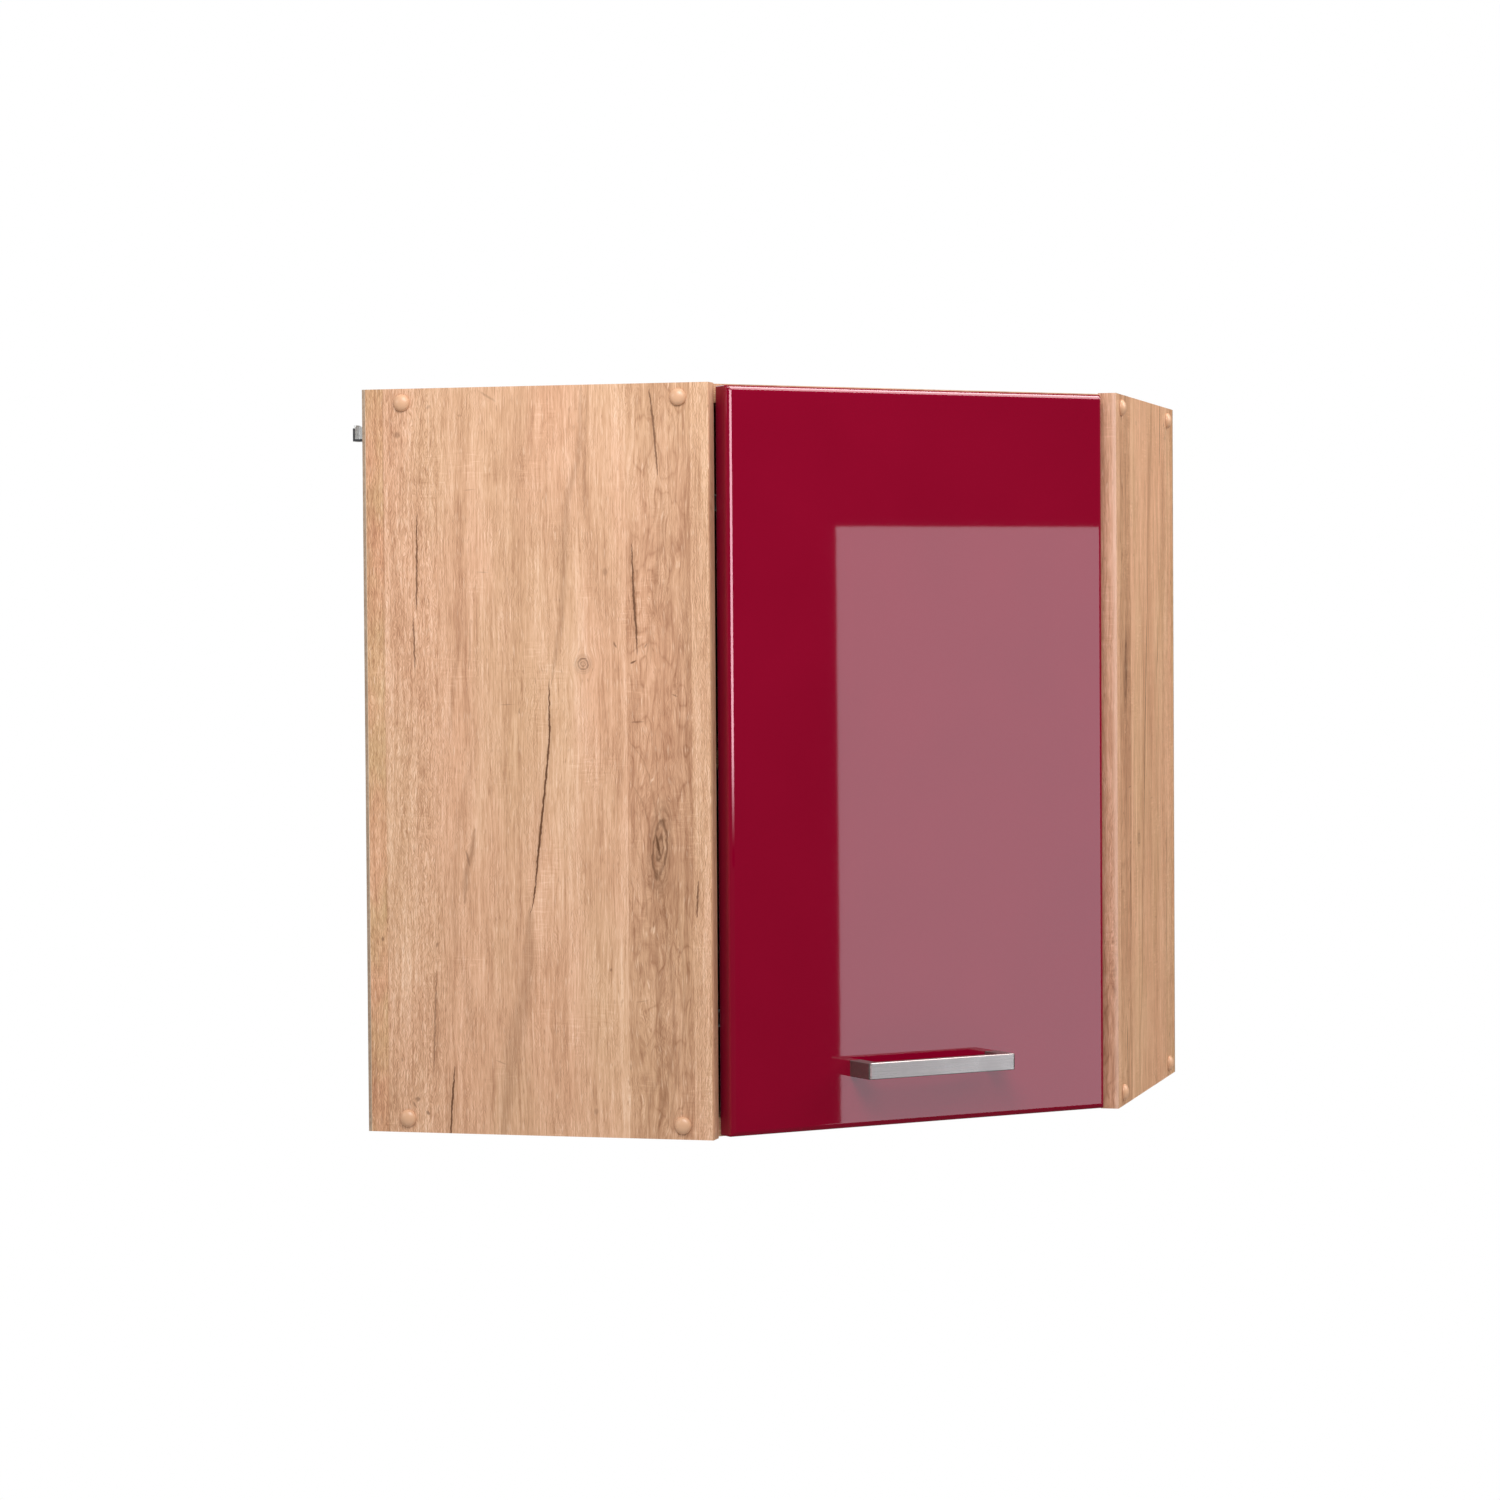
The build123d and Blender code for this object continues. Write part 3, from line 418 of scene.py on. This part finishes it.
        # painted highlight: the band's colour grows lighter towards its outer arris (x 594.5 to 599.6 mm)
        painted_arris_highlight = M.rng(M.mul(s[0], 1000.0), 594.5, 599.6, 0.0, 0.5, True)
        col = M.mix(painted_arris_highlight, col, srgb(250, 218, 190))
    if light != 1.0:
        tone = light if isinstance(light, tuple) else (light, light, light)
        col = M.mix(1.0, col, tone + (1,), "MULTIPLY")
    rg = M.muladd(M.sub(fine, 0.5), 0.16, rough)
    return M.set(color=col, rough=rg, normal=M.bump(height, 0.22, 0.0003), spec=spec)


def axis_mm(i, sign=1.0, off=0.0):
    return lambda M, s: M.muladd(s[i], 1000.0 * sign, off)


MATS = {}
MATS["oak_left"] = oak("oak_decor_left", axis_mm(0), axis_mm(2), light=(1.07, 1.065, 1.07))
MATS["oak_right"] = oak("oak_decor_right", axis_mm(1, -1.0), axis_mm(2, -1.0, 636.0), light=(1.10, 1.04, 0.97), seed=300.0)
MATS["oak_flat"] = oak("oak_decor_flat", axis_mm(1, -1.0), axis_mm(0), features=False, seed=90.0, rough=0.66, spec=0.2)
MATS["oak_shelf"] = oak("oak_decor_shelf", axis_mm(1, -1.0, 700.0), axis_mm(0), features=False, seed=190.0)
MATS["edge_left"] = oak("edge_band_left", axis_mm(1, 1.0, 900.0), axis_mm(2), features=False, light=1.05, seed=40.0)
MATS["edge_right"] = oak("edge_band_right", axis_mm(0, 1.0, 900.0), axis_mm(2), features=False, light=(0.98, 0.91, 0.94), seed=44.0)


def diag_mm(sign):
    return lambda M, s: M.mul(M.add(s[0], M.mul(s[1], sign)), 1000.0 / R2)


MATS["edge_diag"] = oak("edge_band_diagonal", axis_mm(2), diag_mm(1.0), features=False, seed=48.0)


def fibreboard():
    M = Mat("hardboard")
    s = M.xyz()
    v = M.obj
    a = M.noise(v, 260.0, 3.0, 0.65)
    b = M.noise(v, 38.0, 3.0, 0.6)
    c = M.noise(M.vec(M.mul(s[0], 1.0), M.mul(s[1], 1.0), M.mul(s[2], 0.35)), 900.0, 2.0, 0.6)
    t = M.muladd(M.sub(a, 0.5), 0.55, 0.5)
    t = M.muladd(M.sub(b, 0.5), 0.45, t)
    t = M.muladd(M.sub(c, 0.5), 0.45, t)
    col = M.ramp(t, [(0.15, srgb(126, 103, 82)), (0.45, srgb(157, 133, 111)), (0.62, srgb(173, 150, 128)), (0.85, srgb(196, 176, 154))])
    # the face towards the inside carries a pale print
    inner = M.mul(M.rng(s[0], 0.0026, 0.0028), M.rng(s[1], -0.0026, -0.0028))
    t2 = M.muladd(M.sub(M.noise(M.vec(M.mul(s[0], 1.0), M.mul(s[1], 1.0), M.mul(s[2], 0.05)), 700.0, 3.0, 0.6), 0.5), 0.5, 0.5)
    pale = M.ramp(t2, [(0.2, srgb(214, 186, 158)), (0.8, srgb(233, 209, 184))])
    col = M.mix(inner, col, pale)
    return M.set(color=col, rough=M.muladd(M.sub(a, 0.5), 0.2, 0.72), normal=M.bump(t, 0.25, 0.0004), spec=0.3)


def gloss_door():
    M = Mat("door_gloss")
    s = M.xyz()
    # depth behind the door's face, in millimetres
    depth = M.muladd(M.sub(s[0], s[1]), -1000.0 / R2, (908.0 / R2) + 3.0)
    back = M.rng(depth, 18.965, 18.99)
    n = M.noise(M.obj, 9.0, 2.0, 0.5)
    face = M.ramp(n, [(0.3, srgb(133, 2, 36)), (0.7, srgb(137, 3, 38))])
    m1 = M.noise(M.obj, 420.0, 3.0, 0.6)
    mela = M.ramp(m1, [(0.3, srgb(226, 223, 216)), (0.7, srgb(236, 234, 228))])
    col = M.mix(back, face, mela)
    # the straight end faces are satin, the front and its rounding are polished
    w = M.math("ABSOLUTE", M.mul(M.add(s[0], s[1]), 1000.0 / R2))
    ends = M.math("MAXIMUM", M.rng(w, 190.25, 190.42), M.math("MAXIMUM", M.rng(s[2], 0.63348, 0.63365), M.rng(s[2], 0.00202, 0.00185)))
    peel = M.noise(M.obj, 46.0, 2.0, 0.5)
    peel2 = M.noise(M.obj, 220.0, 1.0, 0.5)
    h = M.muladd(peel, 1.0, M.mul(peel2, 0.12))
    return M.set(color=col, rough=M.muladd(M.math("MAXIMUM", back, ends), 0.42, 0.02), normal=M.bump(h, 0.003, 0.0006), spec=0.5)


def brushed(name, colour, along=None, rough=0.3, scale=1.0, metal=1.0, aniso=0.0, contrast=0.06):
    """Metal with fine drawn lines; along is the direction of the lines."""
    M = Mat(name)
    s = M.xyz()
    if along == "diag":
        a = M.mul(M.add(s[0], s[1]), 1.0 / R2)
        b = M.mul(M.sub(s[0], s[1]), 1.0 / R2)
        v = M.vec(M.mul(a, 14.0), M.mul(b, 2600.0), M.mul(s[2], 2600.0))
    elif along == "x":
        v = M.vec(M.mul(s[0], 40.0), M.mul(s[1], 2200.0), M.mul(s[2], 2200.0))
    elif along == "z":
        v = M.vec(M.mul(s[0], 2200.0), M.mul(s[1], 2200.0), M.mul(s[2], 60.0))
    else:
        v = M.vec(M.mul(s[0], 500.0), M.mul(s[1], 500.0), M.mul(s[2], 500.0))
    n = M.noise(v, scale, 3.0, 0.6)
    w = M.noise(M.obj, 60.0, 3.0, 0.6)
    lo = tuple(c * (1 - contrast) for c in colour[:3]) + (1,)
    hi = tuple(min(1.0, c * (1 + contrast)) for c in colour[:3]) + (1,)
    col = M.ramp(n, [(0.3, lo), (0.7, hi)])
    col = M.mix(M.rng(w, 0.45, 0.8, 0.0, 0.35), col, tuple(c * 0.8 for c in colour[:3]) + (1,))
    rg = M.add(M.muladd(M.sub(n, 0.5), 0.22, rough), M.mul(M.sub(w, 0.5), 0.10))
    return M.set(color=col, rough=rg, metal=metal, aniso=aniso, normal=M.bump(n, 0.12, 0.0001))


def plastic(name, colour, rough=0.4, grain=0.12, contrast=0.04, spec=0.5):
    M = Mat(name)
    n = M.noise(M.obj, 900.0, 2.0, 0.5)
    w = M.noise(M.obj, 70.0, 3.0, 0.6)
    lo = tuple(c * (1 - contrast) for c in colour[:3]) + (1,)
    hi = tuple(min(1.0, c * (1 + contrast)) for c in colour[:3]) + (1,)
    col = M.ramp(w, [(0.3, lo), (0.7, hi)])
    return M.set(color=col, rough=M.muladd(M.sub(w, 0.5), 0.12, rough), normal=M.bump(n, grain, 0.0002), spec=spec)


def plain_wood(name, lo, hi, stretch):
    M = Mat(name)
    s = M.xyz()
    v = M.vec(*[M.mul(s[i], stretch[i]) for i in range(3)])
    n = M.noise(v, 1.0, 4.0, 0.6)
    f = M.noise(M.vec(*[M.mul(s[i], stretch[i] * 5.0) for i in range(3)]), 1.0, 2.0, 0.6)
    t = M.muladd(M.sub(f, 0.5), 0.5, n)
    return M.set(color=M.ramp(t, [(0.3, lo), (0.7, hi)]), rough=M.muladd(M.sub(f, 0.5), 0.2, 0.6), normal=M.bump(t, 0.2, 0.0003), spec=0.3)


def hook_sheet():
    """Plated sheet; its cut edges on the side towards the room are painted dark grey as painted shade."""
    M = Mat("hook_sheet")
    s = M.xyz()
    n = M.noise(M.obj, 700.0, 2.0, 0.5)
    w = M.noise(M.obj, 120.0, 3.0, 0.6)
    # painted shade: faces beyond y = -580.2 mm or x = 580.2 mm, the cut edges towards the room, get a dark grey colour
    a = M.rng(s[1], -0.58015, -0.5803)
    b = M.rng(s[0], 0.58015, 0.5803)
    painted_edge_shade = M.math("MAXIMUM", a, b)
    face = M.ramp(w, [(0.3, srgb(228, 229, 228)), (0.7, srgb(240, 240, 238))])
    col = M.mix(painted_edge_shade, face, M.ramp(n, [(0.3, srgb(60, 60, 62)), (0.7, srgb(86, 86, 88))]))
    return M.set(color=col, rough=M.muladd(M.sub(w, 0.5), 0.2, 0.42), metal=0.15, normal=M.bump(n, 0.1, 0.0001))


MATS["hardboard"] = fibreboard()
MATS["door"] = gloss_door()
MATS["handle"] = brushed("brushed_handle", srgb(140, 139, 134), "diag", 0.30, contrast=0.12, metal=0.82)
MATS["zinc"] = brushed("zinc_steel", srgb(178, 180, 182), None, 0.40, contrast=0.08, metal=0.62)
MATS["nickel"] = brushed("nickel_steel", srgb(200, 197, 190), None, 0.34, contrast=0.05, metal=0.62)
MATS["steel"] = brushed("bright_steel", srgb(194, 194, 194), "z", 0.28, contrast=0.04, metal=0.65)
MATS["cast"] = brushed("zinc_cast", srgb(150, 151, 154), None, 0.5, contrast=0.12)
MATS["cap"] = plastic("cap_plastic", srgb(222, 174, 138), 0.34)
MATS["hook"] = hook_sheet()
MATS["hanger"] = plastic("hanger_plastic", srgb(228, 226, 220), 0.45)
MATS["buffer"] = plastic("clear_buffer", srgb(232, 232, 228), 0.25)
MATS["pine"] = plain_wood("plain_pine", srgb(205, 172, 128), srgb(226, 198, 158), (160.0, 160.0, 9.0))
MATS["beech"] = plain_wood("beech", srgb(206, 168, 128), srgb(222, 190, 152), (260.0, 260.0, 60.0))

NODE_MAT = {
    "side_panel_left": "oak_left", "side_panel_right": "oak_right", "top_panel": "oak_flat", "bottom_panel": "oak_flat",
    "shelf": "oak_shelf", "edge_band_left": "edge_left", "edge_band_right": "edge_right", "edge_bands_diagonal": "edge_diag",
    "edge_band_shelf": "edge_diag", "screw_caps_left": "cap", "screw_caps_right": "cap", "back_panel_left": "hardboard",
    "back_panel_right": "hardboard", "back_corner_post": "pine", "wood_dowels": "beech", "back_panel_nails": "zinc",
    "carcass_screws": "zinc", "door_panel": "door", "door_bumpers": "buffer", "handle": "handle", "handle_screws": "zinc",
    "hinge_cup_pins": "steel", "hinge_arm_pins": "steel", "hinge_adjusting_screws": "zinc", "hanger_housing_left": "hanger",
    "hanger_housing_right": "hanger", "hanger_carriage_left": "cast", "hanger_carriage_right": "cast", "hanger_hook_left": "hook",
    "hanger_hook_right": "hook", "hanger_depth_screw_left": "zinc", "hanger_depth_screw_right": "zinc",
    "hanger_height_screws": "zinc", "hanger_fixing_screws": "zinc",
}


def paint(obj, key):
    obj.data.materials.clear()
    obj.data.materials.append(MATS[key])


for n, o in nodes.items():
    paint(o, NODE_MAT.get(n, "nickel"))

# --------------------------------------------------------------- screw caps
def lathe(name, rings, segments=56):
    """Closed surface of revolution about local z; rings are (radius, height)."""
    bm = bmesh.new()
    loops = []
    for r, h in rings:
        if r < 1e-7:
            loops.append([bm.verts.new((0, 0, h))])
        else:
            loops.append([bm.verts.new((r * math.cos(2 * math.pi * i / segments), r * math.sin(2 * math.pi * i / segments), h))
                          for i in range(segments)])
    for a, b in zip(loops, loops[1:]):
        n = segments
        for i in range(n):
            j = (i + 1) % n
            if len(a) == 1:
                bm.faces.new((a[0], b[i], b[j]))
            elif len(b) == 1:
                bm.faces.new((a[i], b[0], a[j]))
            else:
                bm.faces.new((a[i], b[i], b[j], a[j]))
    bmesh.ops.recalc_face_normals(bm, faces=bm.faces)
    me = bpy.data.meshes.new(name)
    bm.to_mesh(me)
    bm.free()
    for p in me.polygons:
        p.use_smooth = True
    return me


def cap_rings():
    R, H0 = 7.28, 4.78
    rings = [(0.0, H0)]
    for i in range(1, 15):
        a = math.radians(i * 90.0 / 14.0)
        rings.append((R * math.sin(a) ** 1.04, 0.45 + (H0 - 0.45) * math.cos(a) if i < 14 else 0.45))
    rings += [(R, 0.28), (R - 0.35, 0.0), (5.0, 0.0), (4.86, -0.1), (4.86, -0.95), (4.7, -1.0), (2.0, -1.0), (1.85, -1.1), (1.85, -3.3), (1.6, -3.38), (0.0, -3.38)]
    return [(r / 1000.0, h / 1000.0) for r, h in rings]


def caps(node, places, turn):
    parts = []
    for i, c in enumerate(places):
        me = lathe(node + "_lathe_%d" % i, cap_rings())
        me.transform(Matrix.Translation(c) @ turn)
        parts.append(me)
    bm = bmesh.new()
    for me in parts:
        bm.from_mesh(me)
        bpy.data.meshes.remove(me)
    out = bpy.data.meshes.new(node + "_domed")
    bm.to_mesh(out)
    bm.free()
    for p in out.polygons:
        p.use_smooth = True
    out.set_sharp_from_angle(angle=math.radians(42))
    o = bpy.data.objects.new(node + "_domed", out)
    bpy.context.scene.collection.objects.link(o)
    o.data.materials.append(MATS["cap"])
    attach(o, "carcass")
    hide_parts(node)
    return o


cap_at = [(0.036, 0.012), (0.2815, 0.012), (0.036, 0.624), (0.2815, 0.624)]
caps("screw_caps_left", [Vector((x, -0.6, z)) for x, z in cap_at], Matrix.Rotation(math.radians(90), 4, "X"))
caps("screw_caps_right", [Vector((0.6, -x, z)) for x, z in cap_at], Matrix.Rotation(math.radians(90), 4, "Y"))

# --------------------------------------------------------------- stage
# plain pale floor, well below, since the cabinet hangs on a wall
me = bpy.data.meshes.new("floor")
bm = bmesh.new()
bmesh.ops.create_circle(bm, cap_ends=True, segments=96, radius=4.4)
bm.to_mesh(me); bm.free()
floor = bpy.data.objects.new("floor", me)
floor.location = (0.3, -0.3, -1.4)
bpy.context.scene.collection.objects.link(floor)
F = Mat("floor_pale")
nf = F.noise(F.obj, 3.0, 3.0, 0.5)
floor.data.materials.append(F.set(color=F.ramp(nf, [(0.3, (0.86, 0.86, 0.86, 1)), (0.7, (0.88, 0.88, 0.88, 1))]), rough=0.8, spec=0.2))
floor.visible_glossy = False

# world: white to the camera, quieter grey for light and reflections
w = bpy.data.worlds.new("world")
bpy.context.scene.world = w
w.use_nodes = True
nt = w.node_tree
nt.nodes.clear()
wo = nt.nodes.new("ShaderNodeOutputWorld")
lp = nt.nodes.new("ShaderNodeLightPath")
bgc = nt.nodes.new("ShaderNodeBackground"); bgc.inputs[0].default_value = (1, 1, 1, 1); bgc.inputs[1].default_value = 1.0
bgl = nt.nodes.new("ShaderNodeBackground"); bgl.inputs[0].default_value = (1, 0.975, 0.925, 1); bgl.inputs[1].default_value = 0.30
bgg = nt.nodes.new("ShaderNodeBackground"); bgg.inputs[0].default_value = (1, 1, 1, 1); bgg.inputs[1].default_value = 0.10
m1 = nt.nodes.new("ShaderNodeMixShader"); m2 = nt.nodes.new("ShaderNodeMixShader")
nt.links.new(lp.outputs["Is Glossy Ray"], m1.inputs[0]); nt.links.new(bgl.outputs[0], m1.inputs[1]); nt.links.new(bgg.outputs[0], m1.inputs[2])
nt.links.new(lp.outputs["Is Camera Ray"], m2.inputs[0]); nt.links.new(m1.outputs[0], m2.inputs[1]); nt.links.new(bgc.outputs[0], m2.inputs[2])
nt.links.new(m2.outputs[0], wo.inputs[0])


def area(name, loc, target, sx, sy, power, colour=(1, 1, 1)):
    d = bpy.data.lights.new(name, "AREA")
    d.shape = "RECTANGLE"
    d.size = sx
    d.size_y = sy
    d.energy = power
    d.color = colour
    o = bpy.data.objects.new(name, d)
    o.location = loc
    o.rotation_euler = (Vector(target) - Vector(loc)).to_track_quat("-Z", "Y").to_euler()
    o.visible_camera = False
    bpy.context.scene.collection.objects.link(o)
    return o


def soft_box(name, centre, facing, sx, sy, radiance, colour=(1, 1, 1)):
    return area(name, centre, facing, sx, sy, radiance * math.pi * sx * sy, colour)


soft_box("key", (0.52, -1.95, 1.78), (0.25, -0.60, 0.40), 0.90, 0.90, 10.6, (0.97, 1.0, 1.05))
soft_box("left_fill", (-2.1, -2.5, 1.3), (0.1, -0.55, 0.35), 1.1, 1.1, 3.2)
soft_box("front", (1.70, -2.55, 1.90), (0.42, -0.45, 0.42), 1.20, 1.20, 5.2)
soft_box("side", (2.75, 0.75, 1.75), (0.60, -0.15, 0.45), 1.20, 1.60, 6.3)
soft_box("top", (1.20, 0.20, 2.60), (0.40, -0.35, 0.6), 1.10, 1.10, 7.0)
soft_box("rear", (-1.9, 1.9, 1.6), (0.1, -0.1, 0.3), 1.6, 1.6, 3.2)

# the bright panel that the door's gloss shows, built from where its edges
# appear on the door
n_door = Vector((1, -1, 0)).normalized()
c_door = (908.0 + 3.0 * R2) / 1000.0 / R2


def mirrored(px, py):
    d = FWD + (px - 750.0) / 4067.31 * RIGHT - (py - 750.0) / 4067.31 * UP
    t = (c_door - n_door.dot(EYE)) / n_door.dot(d)
    p = EYE + d * t
    return p, (d - 2 * d.dot(n_door) * n_door).normalized()


def at_panel(px, py, n, c):
    p, r = mirrored(px, py)
    return p + r * ((c - n.dot(p)) / n.dot(r))


p0, r0 = mirrored(970.0, 800.0)
n_s = Vector((r0.x, r0.y, 0)).normalized()
c_s = n_s.dot(p0) + 2.1
qa = at_panel(836.0, 526.5, n_s, c_s)
qb = at_panel(841.0, 1125.0, n_s, c_s)
qc = at_panel(1103.0, 527.0, n_s, c_s)
down = (qb - qa) * 1.35
side = (qc - qa) * 1.9


glossy_parts = bpy.data.collections.new("glossy_parts")
for n in ("door_panel", "handle"):
    glossy_parts.objects.link(nodes[n])


def card(name, verts, faces, strength, colour=(1, 1, 1), fade=None):
    """A luminous card that only the mirror-like reflections of the door and its handle see."""
    me = bpy.data.meshes.new(name)
    me.from_pydata([tuple(v) for v in verts], [], faces)
    o = bpy.data.objects.new(name, me)
    bpy.context.scene.collection.objects.link(o)
    m = bpy.data.materials.new(name)
    m.use_nodes = True
    m.node_tree.nodes.clear()
    out = m.node_tree.nodes.new("ShaderNodeOutputMaterial")
    e = m.node_tree.nodes.new("ShaderNodeEmission")
    e.inputs[0].default_value = tuple(colour) + (1,)
    e.inputs[1].default_value = strength
    if fade:
        # dies away towards its lower edge
        co = m.node_tree.nodes.new("ShaderNodeTexCoord")
        sp = m.node_tree.nodes.new("ShaderNodeSeparateXYZ")
        mr = m.node_tree.nodes.new("ShaderNodeMapRange")
        mr.interpolation_type = "SMOOTHSTEP"
        for socket, value in zip(("From Min", "From Max", "To Min", "To Max"), (fade[0], fade[1], 0.0, strength)):
            mr.inputs[socket].default_value = value
        m.node_tree.links.new(co.outputs["Object"], sp.inputs[0])
        m.node_tree.links.new(sp.outputs[2], mr.inputs["Value"])
        m.node_tree.links.new(mr.outputs[0], e.inputs[1])
    m.node_tree.links.new(e.outputs[0], out.inputs[0])
    me.materials.append(m)
    o.visible_camera = False
    o.visible_diffuse = False
    o.visible_transmission = False
    o.visible_volume_scatter = False
    o.visible_shadow = False
    o.light_linking.receiver_collection = glossy_parts
    return o


card("glow_panel", [qa, qa + side, qa + side + down, qa + down], [(0, 1, 2, 3)], 1.0, (3.0, 3.0, 3.37))
# quiet surroundings behind that panel
mid = p0 + n_s * 2.45
across = Vector((-n_s.y, n_s.x, 0))
up = Vector((0, 0, 1))
card("dark_card", [mid - across * 1.3 - up * 1.3, mid + across * 1.3 - up * 1.3, mid + across * 1.3 + up * 1.3, mid - across * 1.3 + up * 1.3],
     [(0, 1, 2, 3)], 0.06)
# tall bright card in front, which the door's rounded left edge picks up
e0 = Vector((0.3205, -0.5885, 0))
ring = [(e0.x + 2.2 * math.cos(math.radians(a)), e0.y + 2.2 * math.sin(math.radians(a))) for a in range(-74, -27, 4)]
vs = [(x, y, 0.10) for x, y in ring] + [(x, y, 0.84) for x, y in ring]
k = len(ring)
card("edge_card", vs, [(i, i + 1, k + i + 1, k + i) for i in range(k - 1)], 16.0, (1.0, 0.66, 0.76), (0.12, 0.29))
# bright card overhead, which its rounded top edge picks up
m0 = Vector((0.648, 0.1055, 0.755)).normalized()
la = Vector((-0.462, 0.462, 0.333)).normalized()
sb = m0.cross(la)
cc = Vector((0.454, -0.454, 0.634)) + m0 * 2.2
card("top_card", [cc - la * 0.98 - sb * 0.5, cc + la * 0.98 - sb * 0.5, cc + la * 0.98 + sb * 0.5, cc - la * 0.98 + sb * 0.5], [(0, 1, 2, 3)], 9.0, (1.0, 0.80, 0.84))
